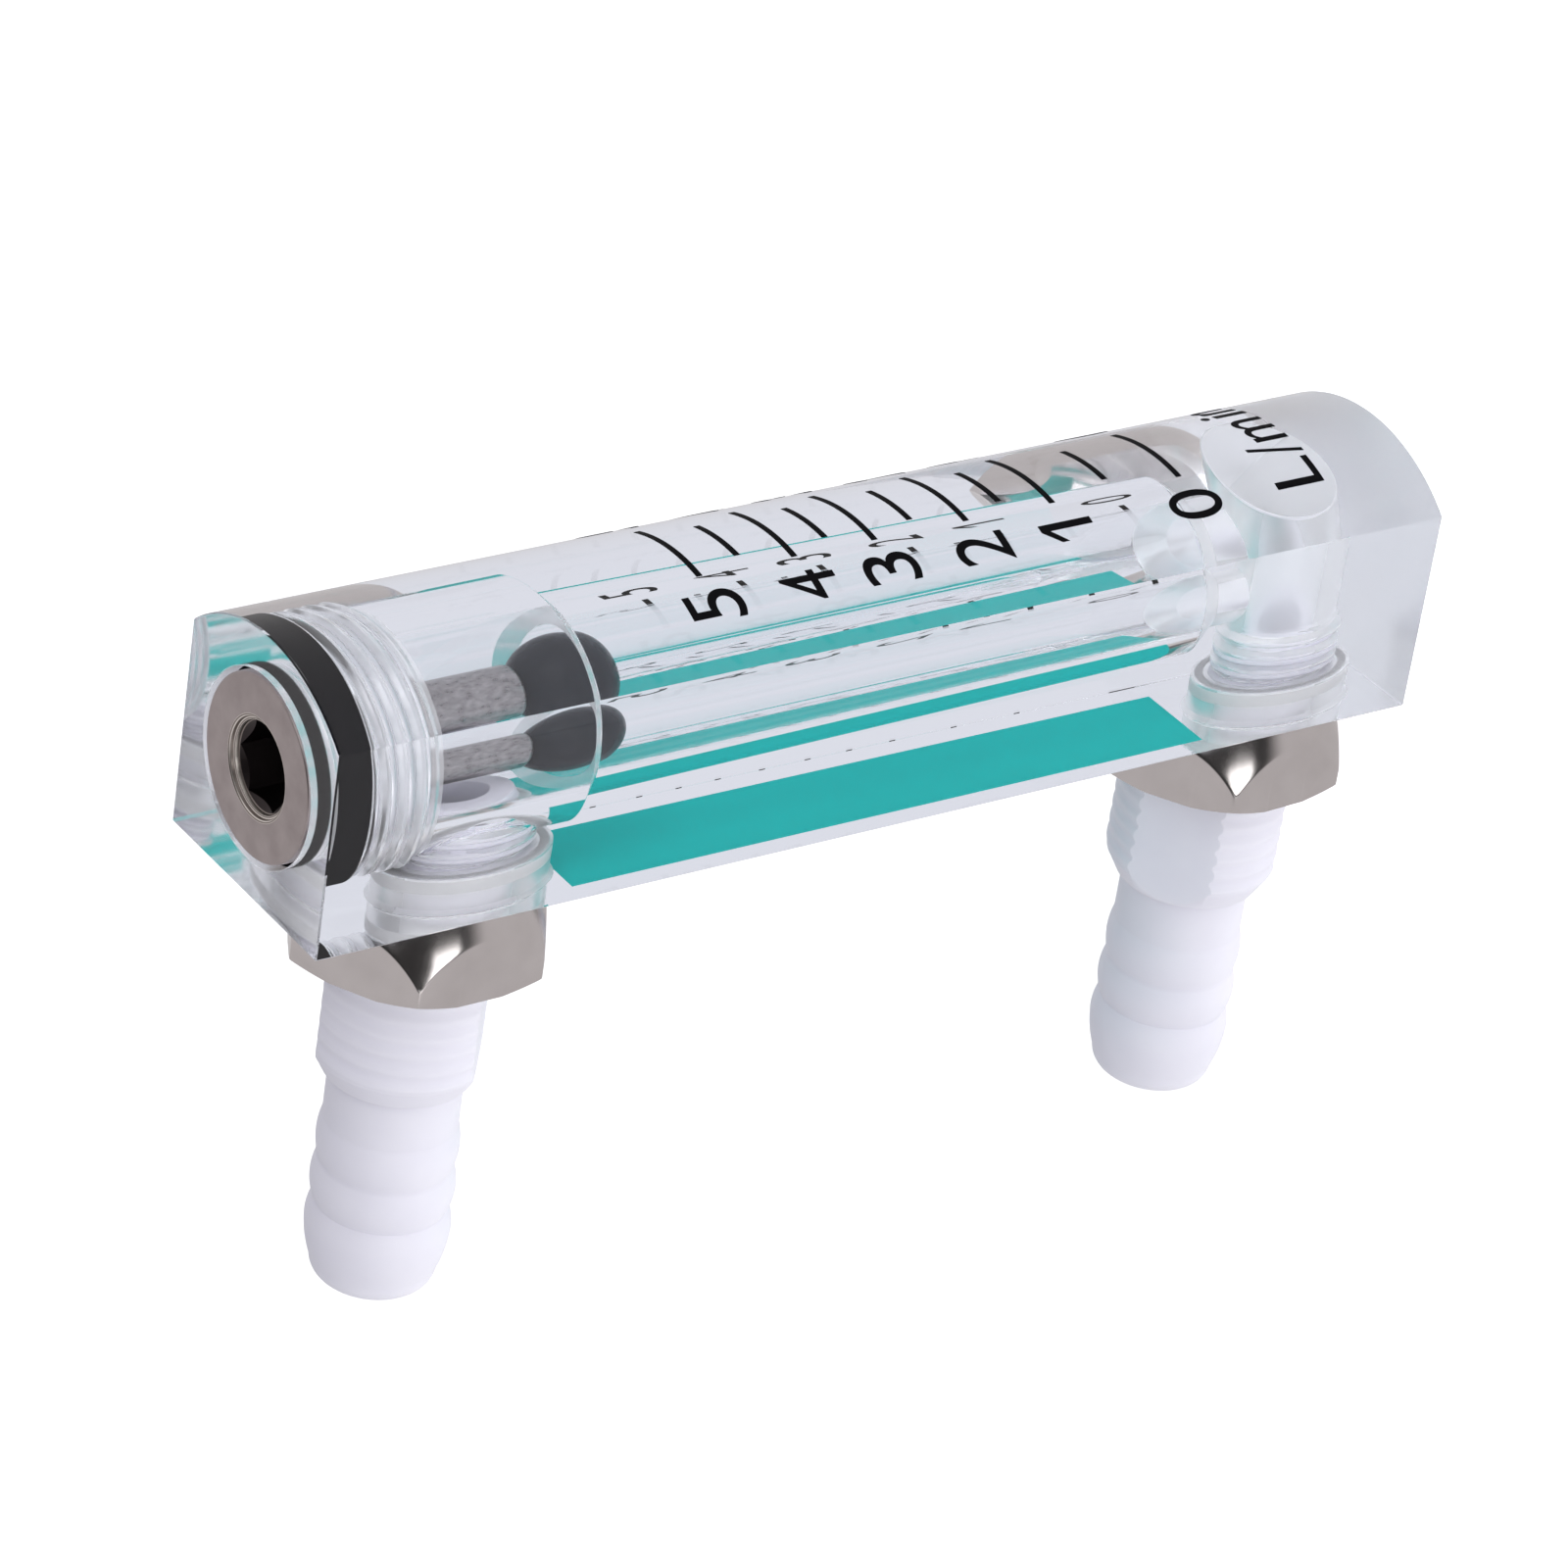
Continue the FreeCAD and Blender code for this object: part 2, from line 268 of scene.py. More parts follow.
def shade(piece, degrees=32.0):
    """Smooths faces that meet at less than the angle."""
    mesh = bmesh.new()
    mesh.from_mesh(piece.data)
    limit = math.radians(degrees)
    for face in mesh.faces:
        face.smooth = True
    for edge in mesh.edges:
        edge.smooth = len(edge.link_faces) == 2 and edge.calc_face_angle() < limit
    mesh.to_mesh(piece.data)
    mesh.free()
    # Large faces keep their true normals, and the small bevels between them take the bend.
    modifier = piece.modifiers.new("normals", "WEIGHTED_NORMAL")
    modifier.keep_sharp = True
    apply_modifiers(piece)


def cut(piece, tools, operation="DIFFERENCE"):
    for tool in tools:
        modifier = piece.modifiers.new("cut", "BOOLEAN")
        modifier.operation = operation
        modifier.solver = "EXACT"
        modifier.object = tool
    apply_modifiers(piece)
    for tool in tools:
        bpy.data.objects.remove(tool)


def dress(piece, material, slot, body, *nodes):
    piece.data.materials.clear()
    piece.data.materials.append(material)
    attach(piece, body)
    if nodes:
        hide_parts(*nodes)
    return piece


def prism(section, low, high, bevel):
    """A bar of the given (x, y) section along Z, with its end edges bevelled."""
    mesh = bmesh.new()
    middle = Vector((sum(p[0] for p in section), sum(p[1] for p in section))) / len(section)
    rings = []
    for station, inset in ((low, bevel), (low + bevel, 0), (high - bevel, 0), (high, bevel)):
        ring = []
        for index, point in enumerate(section):
            here = Vector(point)
            before = Vector(section[index - 1])
            after = Vector(section[(index + 1) % len(section)])
            normal = Vector((-(after - before).y, (after - before).x)).normalized()
            if normal.dot(middle - here) < 0:
                normal = -normal
            moved = here + normal * inset
            ring.append(mesh.verts.new(Vector((moved.x, moved.y, station)) * MM))
        rings.append(ring)
    count = len(section)
    for lower, upper in zip(rings, rings[1:]):
        for index in range(count):
            after = (index + 1) % count
            mesh.faces.new((lower[index], lower[after], upper[after], upper[index]))
    mesh.faces.new(list(reversed(rings[0])))
    mesh.faces.new(rings[-1])
    bmesh.ops.recalc_face_normals(mesh, faces=mesh.faces)
    return mesh


# Materials

def new_material(name):
    material = bpy.data.materials.new(name)
    material.use_nodes = True
    tree = material.node_tree
    return material, tree, tree.nodes["Principled BSDF"], tree.nodes["Material Output"]


def object_place(tree):
    return tree.nodes.new("ShaderNodeTexCoord").outputs["Object"]


def object_axes(tree):
    axes = tree.nodes.new("ShaderNodeSeparateXYZ")
    tree.links.new(object_place(tree), axes.inputs["Vector"])
    return [axes.outputs[name] for name in "XYZ"]


def noise(tree, scale, detail, stretch=(1, 1, 1)):
    mapping = tree.nodes.new("ShaderNodeMapping")
    mapping.inputs["Scale"].default_value = stretch
    texture = tree.nodes.new("ShaderNodeTexNoise")
    texture.inputs["Scale"].default_value = scale
    texture.inputs["Detail"].default_value = detail
    tree.links.new(object_place(tree), mapping.inputs["Vector"])
    tree.links.new(mapping.outputs["Vector"], texture.inputs["Vector"])
    return texture.outputs["Fac"]


def ramp(tree, source, low, high):
    node = tree.nodes.new("ShaderNodeMapRange")
    node.inputs["To Min"].default_value = low
    node.inputs["To Max"].default_value = high
    tree.links.new(source, node.inputs["Value"])
    return node.outputs["Result"]


def mix_colours(tree, factor, first, second):
    node = tree.nodes.new("ShaderNodeMix")
    node.data_type = "RGBA"
    node.inputs["A"].default_value = (*first, 1)
    node.inputs["B"].default_value = (*second, 1)
    tree.links.new(factor, node.inputs["Factor"])
    return node.outputs["Result"]


def colour_where(tree, mask, before, colour):
    """Shows the colour, or the socket's colour, where the mask is 1, and else the one before."""
    node = tree.nodes.new("ShaderNodeMix")
    node.data_type = "RGBA"
    tree.links.new(mask, node.inputs["Factor"])
    tree.links.new(before, node.inputs["A"])
    if isinstance(colour, tuple):
        node.inputs["B"].default_value = (*colour, 1)
    else:
        tree.links.new(colour, node.inputs["B"])
    return node.outputs["Result"]


def smaller(tree, value, limit):
    node = tree.nodes.new("ShaderNodeMath")
    node.operation = "LESS_THAN"
    node.inputs[1].default_value = limit * MM
    tree.links.new(value, node.inputs[0])
    return node.outputs["Value"]


def vary(tree, shader, texture, dark, light, rough):
    """Colour and roughness follow one texture."""
    tree.links.new(mix_colours(tree, texture, dark, light), shader.inputs["Base Color"])
    tree.links.new(ramp(tree, texture, *rough), shader.inputs["Roughness"])


def bump(tree, shader, height, strength, distance):
    node = tree.nodes.new("ShaderNodeBump")
    node.inputs["Strength"].default_value = strength
    node.inputs["Distance"].default_value = distance
    tree.links.new(height, node.inputs["Height"])
    tree.links.new(node.outputs["Normal"], shader.inputs["Normal"])


def acrylic_material():
    material, tree, shader, output = new_material("clear_acrylic")
    shader.inputs["Base Color"].default_value = (0.975, 0.98, 0.99, 1)
    shader.inputs["IOR"].default_value = 1.49
    shader.inputs["Specular IOR Level"].default_value = 0.3
    polish = ramp(tree, noise(tree, 90.0, 3.0), 0.0, 0.02)
    x, y, z = object_axes(tree)

    # Masks are 1 in one zone of the block and 0 elsewhere, and are put together by sums.
    def sums(operation, first, second):
        node = tree.nodes.new("ShaderNodeMath")
        node.operation = operation
        for socket, value in zip(node.inputs, (first, second)):
            if isinstance(value, float):
                socket.default_value = value
            else:
                tree.links.new(value, socket)
        return node.outputs["Value"]

    def both(first, second):
        return sums("MULTIPLY", first, second)

    def larger(first, second):
        return sums("MAXIMUM", first, second)

    def within(across, along, middle, reach):
        """Inside a round bar that crosses the plane of the two axes."""
        offset = sums("SUBTRACT", along, middle * MM)
        square = sums("ADD", both(across, across), both(offset, offset))
        return sums("LESS_THAN", square, (reach * MM) ** 2)

    def between(along, low, high):
        return both(sums("GREATER_THAN", along, low * MM), sums("LESS_THAN", along, high * MM))

    # Each zone reaches a little past the walls that it marks.
    threaded_reach, chamber_reach, port_reach = 7.7, 7.0, 8.0
    port_front, port_bottom, seat_zone_bottom = -6.0, 0.5, 1.0
    top = block_high.z + overrun
    cone_bottom = chamber_floor - drill_point
    threaded = both(within(x, y, 0.0, threaded_reach), between(z, plug_thread_end - 0.3, top))
    chamber = both(within(x, y, 0.0, chamber_reach), between(z, cone_bottom - 0.1, top))
    cone = both(between(z, cone_bottom + 0.03, chamber_floor - 0.01),
                sums("SUBTRACT", chamber, within(x, y, 0.0, bore_top_radius + 0.02)))
    seat = both(within(x, y, 0.0, bore_bottom_radius + 0.01),
                between(z, seat_zone_bottom, bore_bottom + 0.05))
    ports = larger(*(within(x, z, port_heights[side], port_reach) for side in ("inlet", "outlet")))
    ports = both(ports, between(y, port_front, back_face - 0.02))
    ports = both(both(ports, between(z, port_bottom, top)), sums("SUBTRACT", 1.0, chamber))
    sawn = sums("LESS_THAN", z, (block_low.z + 0.1) * MM)
    faced = sums("GREATER_THAN", z, (block_high.z - 0.02) * MM)
    bored = larger(cone, larger(seat, ports))
    rough_zones = ((bored, 0.32), (chamber, 0.05), (threaded, 0.20), (sawn, 0.25), (faced, 0.12))
    roughness = polish
    for mask, value in rough_zones:
        roughness = larger(roughness, both(mask, value))
    tree.links.new(roughness, shader.inputs["Roughness"])
    # A tool's marks scatter light, so a machined face is partly white.
    white = larger(both(bored, 0.40), both(threaded, 0.28))
    tree.links.new(sums("SUBTRACT", 1.0, white), shader.inputs["Transmission Weight"])
    milky = tree.nodes.new("ShaderNodeBsdfTranslucent")
    milky.inputs["Color"].default_value = (0.92, 0.94, 0.96, 1)
    ends = tree.nodes.new("ShaderNodeMixShader")
    tree.links.new(both(sawn, 0.35), ends.inputs["Fac"])
    tree.links.new(shader.outputs["BSDF"], ends.inputs[1])
    tree.links.new(milky.outputs["BSDF"], ends.inputs[2])
    path = tree.nodes.new("ShaderNodeLightPath")
    clear = tree.nodes.new("ShaderNodeBsdfTransparent")
    clear.inputs["Color"].default_value = (0.93, 0.93, 0.95, 1)
    mix = tree.nodes.new("ShaderNodeMixShader")
    tree.links.new(path.outputs["Is Shadow Ray"], mix.inputs["Fac"])
    tree.links.new(ends.outputs["Shader"], mix.inputs[1])
    tree.links.new(clear.outputs["BSDF"], mix.inputs[2])
    tree.links.new(mix.outputs["Shader"], output.inputs["Surface"])
    return material


def metal_material(name, dark, light, rough, scale, bump_distance, stretch=(1, 1, 1)):
    material, tree, shader, _ = new_material(name)
    shader.inputs["Metallic"].default_value = 1.0
    grain = noise(tree, scale, 4.0, stretch)
    vary(tree, shader, grain, dark, light, rough)
    bump(tree, shader, grain, 0.3, bump_distance)
    return material


def base_colour_source(shader):
    return shader.inputs["Base Color"].links[0].from_socket


def brighten_below(material, height, colour):
    """Paints the part of a turned piece below a height a pale colour, a painted reflection: it
    stands in for the bright light that the clear block's thread flanks mirror over it.
    """
    tree = material.node_tree
    shader = tree.nodes["Principled BSDF"]
    mask = smaller(tree, object_axes(tree)[2], height)
    mixed = colour_where(tree, mask, base_colour_source(shader), colour)
    tree.links.new(mixed, shader.inputs["Base Color"])


def darken_socket(material):
    """Paints shade into the broached socket: its walls get a near black colour that stands in for
    the shade in the recess. Its countersink carries fine turned rings.
    """
    tree = material.node_tree
    shader = tree.nodes["Principled BSDF"]
    sink_reach, socket_reach, ring_pitch = 4.12, 3.48, 0.17
    flat = tree.nodes.new("ShaderNodeVectorMath")
    flat.operation = "MULTIPLY"
    flat.inputs[1].default_value = (1, 1, 0)
    reach = tree.nodes.new("ShaderNodeVectorMath")
    reach.operation = "LENGTH"
    scaled = tree.nodes.new("ShaderNodeMath")
    scaled.operation = "MULTIPLY"
    scaled.inputs[1].default_value = math.tau / (ring_pitch * MM)
    rings = tree.nodes.new("ShaderNodeMath")
    rings.operation = "SINE"
    tree.links.new(object_place(tree), flat.inputs[0])
    tree.links.new(flat.outputs["Vector"], reach.inputs[0])
    tree.links.new(reach.outputs["Value"], scaled.inputs[0])
    tree.links.new(scaled.outputs["Value"], rings.inputs[0])
    turned = ramp(tree, rings.outputs["Value"], 0.0, 1.0)
    sunk = mix_colours(tree, turned, (0.30, 0.26, 0.24), (1.0, 0.94, 0.88))
    mixed = base_colour_source(shader)
    # Inside the socket's radius the near black colour is painted shade.
    for limit, colour in ((sink_reach, sunk), (socket_reach, (0.05, 0.042, 0.042))):
        mixed = colour_where(tree, smaller(tree, reach.outputs["Value"], limit), mixed, colour)
    tree.links.new(mixed, shader.inputs["Base Color"])


def plastic_material(name, dark, light, rough, scale, bump_distance, subsurface=0.0, gloss=0.5):
    material, tree, shader, _ = new_material(name)
    shader.inputs["Specular IOR Level"].default_value = gloss
    mottle = noise(tree, scale, 3.0)
    vary(tree, shader, mottle, dark, light, rough)
    bump(tree, shader, mottle, 0.2, bump_distance)
    if subsurface:
        shader.inputs["Subsurface Weight"].default_value = subsurface
        shader.inputs["Subsurface Radius"].default_value = (1.0, 1.0, 1.0)
        shader.inputs["Subsurface Scale"].default_value = 0.002
    return material


# After a name: the dark and the light colour, the range of roughness, the texture's scale and
# the depth of its relief in metres
acrylic = acrylic_material()
plug_steel = metal_material(
    "plug_steel", (0.30, 0.25, 0.25), (0.56, 0.50, 0.49), (0.26, 0.42), 420.0, 4e-6)
# Painted shade darkens the hexagon socket.
darken_socket(plug_steel)
# The plug's threads below the seal get a painted reflection, a pale grey.
brighten_below(plug_steel, seal_low.z + 0.01, (0.86, 0.86, 0.88))
pin_steel = metal_material(
    "pin_steel", (0.08, 0.07, 0.07), (0.66, 0.62, 0.62), (0.20, 0.40), 2600.0, 3e-6, (1, 1, 0.5))
nickel = metal_material(
    "nickel_plate", (0.60, 0.56, 0.55), (0.74, 0.70, 0.69), (0.10, 0.22), 300.0, 1e-6)
rubber = plastic_material(
    "black_rubber", (0.004, 0.004, 0.006), (0.010, 0.010, 0.013), (0.35, 0.5), 500.0, 2e-6,
    gloss=0.0)
silicone = plastic_material(
    "clear_silicone", (0.66, 0.66, 0.66), (0.74, 0.74, 0.74), (0.3, 0.4), 300.0, 2e-6,
    subsurface=0.6)
ball_black = plastic_material(
    "float_black", (0.006, 0.008, 0.014), (0.012, 0.014, 0.022), (0.18, 0.28), 500.0, 1e-6,
    gloss=0.1)
nylon = plastic_material(
    "white_nylon", (0.78, 0.77, 0.85), (0.84, 0.83, 0.90), (0.38, 0.5), 220.0, 6e-6,
    subsurface=0.4, gloss=0.35)
teal = plastic_material(
    "teal_print", (0.0, 0.60, 0.56), (0.0, 0.64, 0.60), (0.45, 0.55), 300.0, 1e-6, gloss=0.0)
ink = plastic_material(
    "black_print", (0.003, 0.003, 0.004), (0.006, 0.006, 0.007), (0.4, 0.5), 600.0, 1e-6,
    gloss=0.02)


# Clear block

def block_section():
    corner = 0.15
    steps = 128
    section = [
        (-half_width + corner, back_face),
        (half_width - corner, back_face),
        (half_width, back_face - corner),
        (half_width, side_front),
    ]
    half_angle = math.asin(half_width / dome_radius)
    for step in range(1, steps):
        angle = half_angle * (1 - 2 * step / steps)
        x, y = dome_radius * math.sin(angle), dome_centre - dome_radius * math.cos(angle)
        section.append((x, y))
    section.append((-half_width, side_front))
    section.append((-half_width, back_face - corner))
    return section


def bore_tool():
    inlet = port_heights["inlet"]
    profile = rounded([
        (0, inlet, 0),
        (seat_radius, inlet, 0),
        (seat_radius, seat_bottom, 0.1),
        (bore_bottom_radius, bore_bottom, 0.25),
        (bore_top_radius, chamber_floor - drill_point, 0.1),
        (chamber_radius, chamber_floor, 0.05),
        (chamber_radius, plug_thread_end, 0),
    ])
    profile.append(Thread(plug_pitch, plug_thread_end, seal_low.z, chamber_radius, plug_high.x))
    top = block_high.z + overrun
    profile += [(rim_radius, seal_low.z), (rim_radius, top), (0, top)]
    return to_object(lathe(profile, about_z, 256), "bore_tool")


def port_tool(side, drill_end):
    profile = rounded([
        (0, drill_end, 0),
        (port_drill_radius, drill_end, 0.2),
        (port_drill_radius, port_thread_end, 0),
    ])
    profile.append(Thread(port_pitch, port_thread_end, counterbore_floor,
                          port_drill_radius, port_thread_radius))
    profile += [
        (counterbore_radius, counterbore_floor),
        (counterbore_radius, back_face - mouth_chamfer),
        (counterbore_radius + mouth_chamfer + overrun, back_face + overrun),
        (0, back_face + overrun),
    ]
    return to_object(lathe(profile, about_port(port_heights[side]), 192), side + "_port_tool")


def make_block():
    piece = to_object(prism(block_section(), block_low.z, block_high.z, edge_bevel), "clear_block")
    cut(piece, [bore_tool(), port_tool("inlet", inlet_drill_end), port_tool("outlet", 0.0)])
    shade(piece)
    return dress(piece, acrylic, "clear_acrylic", METER, "flowmeter_block")


# Plug, seal, pin and ball

def make_plug():
    head = 7.25
    head_bottom = seal_high.z
    thread_radius = plug_high.x
    land = thread_radius - 0.7
    end = thread_radius - 0.6
    thread_start = plug_low.z + 0.3
    thread_stop = seal_low.z - 0.1
    profile = rounded([
        (0, plug_low.z, 0),
        (end, plug_low.z, 0.1),
        (end - thread_gap, thread_start, 0),
    ])
    profile.append(Thread(plug_pitch, thread_start, thread_stop,
                          chamber_radius - thread_gap, thread_radius - thread_gap))
    profile += rounded([
        (land, thread_stop, 0),
        (land, seal_low.z, 0.05),
        (groove_radius, seal_low.z, 0.2),
        (groove_radius, head_bottom, 0.2),
        (head, head_bottom, 0.08),
        (head, block_high.z, 0.22),
        (0, block_high.z, 0),
    ])
    piece = to_object(lathe(profile, about_z, 192), "end_plug_turned")
    cut(piece, [socket_tool()])
    shade(piece)
    return dress(piece, plug_steel, "plug_steel", METER, "end_plug")


def socket_tool():
    """The broached hexagon with its drilled point and the turned countersink at its mouth."""
    apothem, depth, sink = 3.0, 4.5, 4.05
    corner = apothem / math.cos(math.pi / 6)
    face = block_high.z
    top = face + overrun
    floor = face - depth
    point = apothem / math.tan(drill_half_angle)
    mesh = bmesh.new()
    lower, upper = [], []
    for index in range(6):
        angle = math.radians(60 * index)
        x, y = corner * math.cos(angle), corner * math.sin(angle)
        lower.append(mesh.verts.new(Vector((x, y, floor)) * MM))
        upper.append(mesh.verts.new(Vector((x, y, top)) * MM))
    tip = mesh.verts.new(Vector((0, 0, floor - point)) * MM)
    for index in range(6):
        after = (index + 1) % 6
        mesh.faces.new((lower[index], lower[after], upper[after], upper[index]))
        mesh.faces.new((lower[after], lower[index], tip))
    mesh.faces.new(upper)
    bmesh.ops.recalc_face_normals(mesh, faces=mesh.faces)
    hexagon = to_object(mesh, "socket_hexagon")

    # The countersink: a 45 degree cone, then turned steps given as (radius, depth)
    rings = [(sink * share, face - sink * (1 - share)) for share in (0, 0.25, 0.5, 0.75)]
    rings += [(radius, face - down) for radius, down in
              ((3.55, 0.62), (3.62, 0.36), (3.84, 0.30), (3.90, 0.12))]
    rings += [(sink, face), (sink + overrun, top), (0, top)]
    cone = to_object(lathe(rings, about_z, 96), "socket_cone")
    cut(hexagon, [cone], "UNION")
    return hexagon


def make_seal():
    # The ring's profile starts in the middle of a side, so that all four corners are eased.
    inner, outer = groove_radius, seal_high.x
    low, high = seal_low.z, seal_high.z
    middle, edge = (low + high) / 2, 0.25
    profile = rounded([
        (outer, middle, 0),
        (outer, high, edge),
        (inner, high, edge),
        (inner, low, edge),
        (outer, low, edge),
        (outer, middle - 0.1, 0),
    ])
    piece = to_object(lathe(profile, about_z, 192, closed=True), "plug_seal_ring")
    shade(piece)
    return dress(piece, rubber, "black_rubber", METER, "plug_o_ring")


def make_pin():
    radius = pin_high.x
    profile = rounded([
        (0, pin_low.z, 0),
        (radius, pin_low.z, 0.35),
        (radius, pin_high.z, 0.05),
        (0, pin_high.z, 0),
    ])
    piece = to_object(lathe(profile, about_z, 96), "stop_pin_turned")
    shade(piece)
    return dress(piece, pin_steel, "pin_steel", METER, "stop_pin")


def make_ball():
    radius = (ball_high.z - ball_low.z) / 2
    middle = (ball_high.z + ball_low.z) / 2
    steps = 64
    profile = []
    for step in range(steps + 1):
        angle = math.pi * step / steps
        profile.append((radius * math.sin(angle), middle - radius * math.cos(angle)))
    profile[0] = (0, ball_low.z)
    profile[-1] = (0, ball_high.z)
    piece = to_object(lathe(profile, about_z, 128), "float_ball_polished")
    shade(piece)
    return dress(piece, ball_black, "float_black", FLOAT, "float_ball")


# Hose fittings, their seals and nuts

flats_turn = {"outlet": 51.0, "inlet": 126.0}
nut_turn = {"outlet": 30.0, "inlet": 32.5}
shank_radius = 7.0
shank_end = back_face + 19.5


def barb_outline():
    """The hose tail: a neck, rounded ridges that grow a little, and a nose with a round tip."""
    crests, notch, nose, tip_round = (5.55, 5.65, 5.7), 5.25, 5.0, 1.6
    pitch, land, neck_length = 3.8, 0.8, 4.0
    first = shank_end + neck_length + pitch / 2 + land / 2
    here = (notch, first - pitch / 2)
    points = [(notch, shank_end + 0.2), (notch, here[1] - 0.05), here]
    for index, crest in enumerate(crests[:-1]):
        middle = first + index * pitch
        end = (notch, middle + pitch / 2)
        points += arc_points(here, (crest, middle), end, 12)
        here = end
    last = (crests[-1], first + (len(crests) - 1) * pitch)
    quarter = ((last[0] + notch) / 2 + 0.12, last[1] - pitch / 4)
    points += arc_points(here, quarter, last, 6)
    last = points[-1]
    tip = fitting_high.y
    nose_end = (nose, tip - tip_round)
    side = ((last[0] + nose) / 2 + 0.15, (last[1] + nose_end[1]) / 2)
    points += arc_points(last, side, nose_end, 10)
    lean = tip_round * 0.293
    return points + arc_points(points[-1], (nose - lean, tip - lean), (nose - tip_round, tip), 10)


def make_fitting(side):
    passage, plain_end, relief = 3.25, 0.3, 0.6
    stub_root = port_drill_radius - thread_gap
    stub_crest = port_thread_radius - thread_gap
    shank_land = shank_radius - 0.1
    shank_root, shank_crest = shank_radius - 0.16, shank_radius - 0.02
    chamfer_length, chamfer_depth = 1.8, 1.2
    stub_end, tip, shoulder = fitting_low.y, fitting_high.y, ring_high.y
    profile = rounded([
        (passage, tip - plain_end, 0),
        (passage, stub_end, 0.2),
        (stub_root, stub_end, 0.2),
        (stub_root, stub_end + plain_end, 0),
    ])
    profile.append(Thread(port_pitch, stub_end + plain_end, shoulder - relief,
                          stub_root, stub_crest))
    profile += rounded([
        (stub_root, shoulder - relief, 0),
        (stub_root, shoulder, 0.2),
        (shank_land, shoulder, 0.15),
        (shank_land, shoulder + relief, 0),
    ])
    profile.append(Thread(shank_pitch, shoulder + relief, shank_end - chamfer_length - 0.1,
                          shank_root, shank_crest, 0.6, 0.3))
    profile += rounded([
        (shank_root, shank_end - chamfer_length - 0.05, 0),
        (shank_radius - 0.2, shank_end - chamfer_length, 0.5),
        (shank_radius - chamfer_depth, shank_end, 0.2),
        (5.2, shank_end, 0),
    ])
    profile += barb_outline()
    profile.append((passage + plain_end, tip))
    place = about_port(port_heights[side])
    piece = to_object(lathe(profile, place, 160, closed=True), side + "_hose_barb")
    cut(piece, [flat_tool(side, way) for way in (0, 180)])
    shade(piece, 40)
    return dress(piece, nylon, "white_nylon", METER, side + "_fitting")


def flat_tool(side, way):
    """A slab that cuts one of the two flats on a shank."""
    shoulder_length, half_flats, reach = 3.3, 6.0, 12.0
    start = ring_high.y + shoulder_length
    length = shank_end + 0.01 - start
    mesh = bmesh.new()
    bmesh.ops.create_cube(mesh, size=1.0)
    size = Matrix.Diagonal((reach * MM, length * MM, 2 * reach * MM, 1))
    move = Matrix.Translation(Vector((half_flats + reach / 2, start + length / 2, 0)) * MM)
    turn = Matrix.Rotation(-math.radians(flats_turn[side] + way), 4, "Y")
    lift = Matrix.Translation(Vector((0, 0, port_heights[side])) * MM)
    bmesh.ops.transform(mesh, matrix=lift @ turn @ move @ size, verts=mesh.verts)
    return to_object(mesh, side + "_flat_tool")


def make_fitting_seal(side):
    inner, outer = 6.05, counterbore_radius + 0.02
    low, high = ring_low.y, ring_high.y
    middle, edge = (inner + outer) / 2, 0.7
    profile = rounded([
        (middle, low, 0),
        (outer, low, edge),
        (outer, high, edge),
        (inner, high, edge),
        (inner, low, edge),
        (middle - 0.05, low, 0),
    ], 6)
    place = about_port(port_heights[side])
    piece = to_object(lathe(profile, place, 160, closed=True), side + "_seal_ring")
    shade(piece)
    return dress(piece, silicone, "clear_silicone", METER, side + "_o_ring")


def hexagon_radius(apothem, angle, turn, corner_round):
    """Distance to a hexagon's side at an angle, with the corners eased."""
    local = (angle - turn + math.pi / 6) % (math.pi / 3) - math.pi / 6
    corner_cut = 0.45
    side = apothem / math.cos(math.pi / 6 - abs(local))
    corner = apothem / math.cos(math.pi / 6)
    ease = max(0.0, side - (corner - corner_round))
    return side - ease * corner_cut


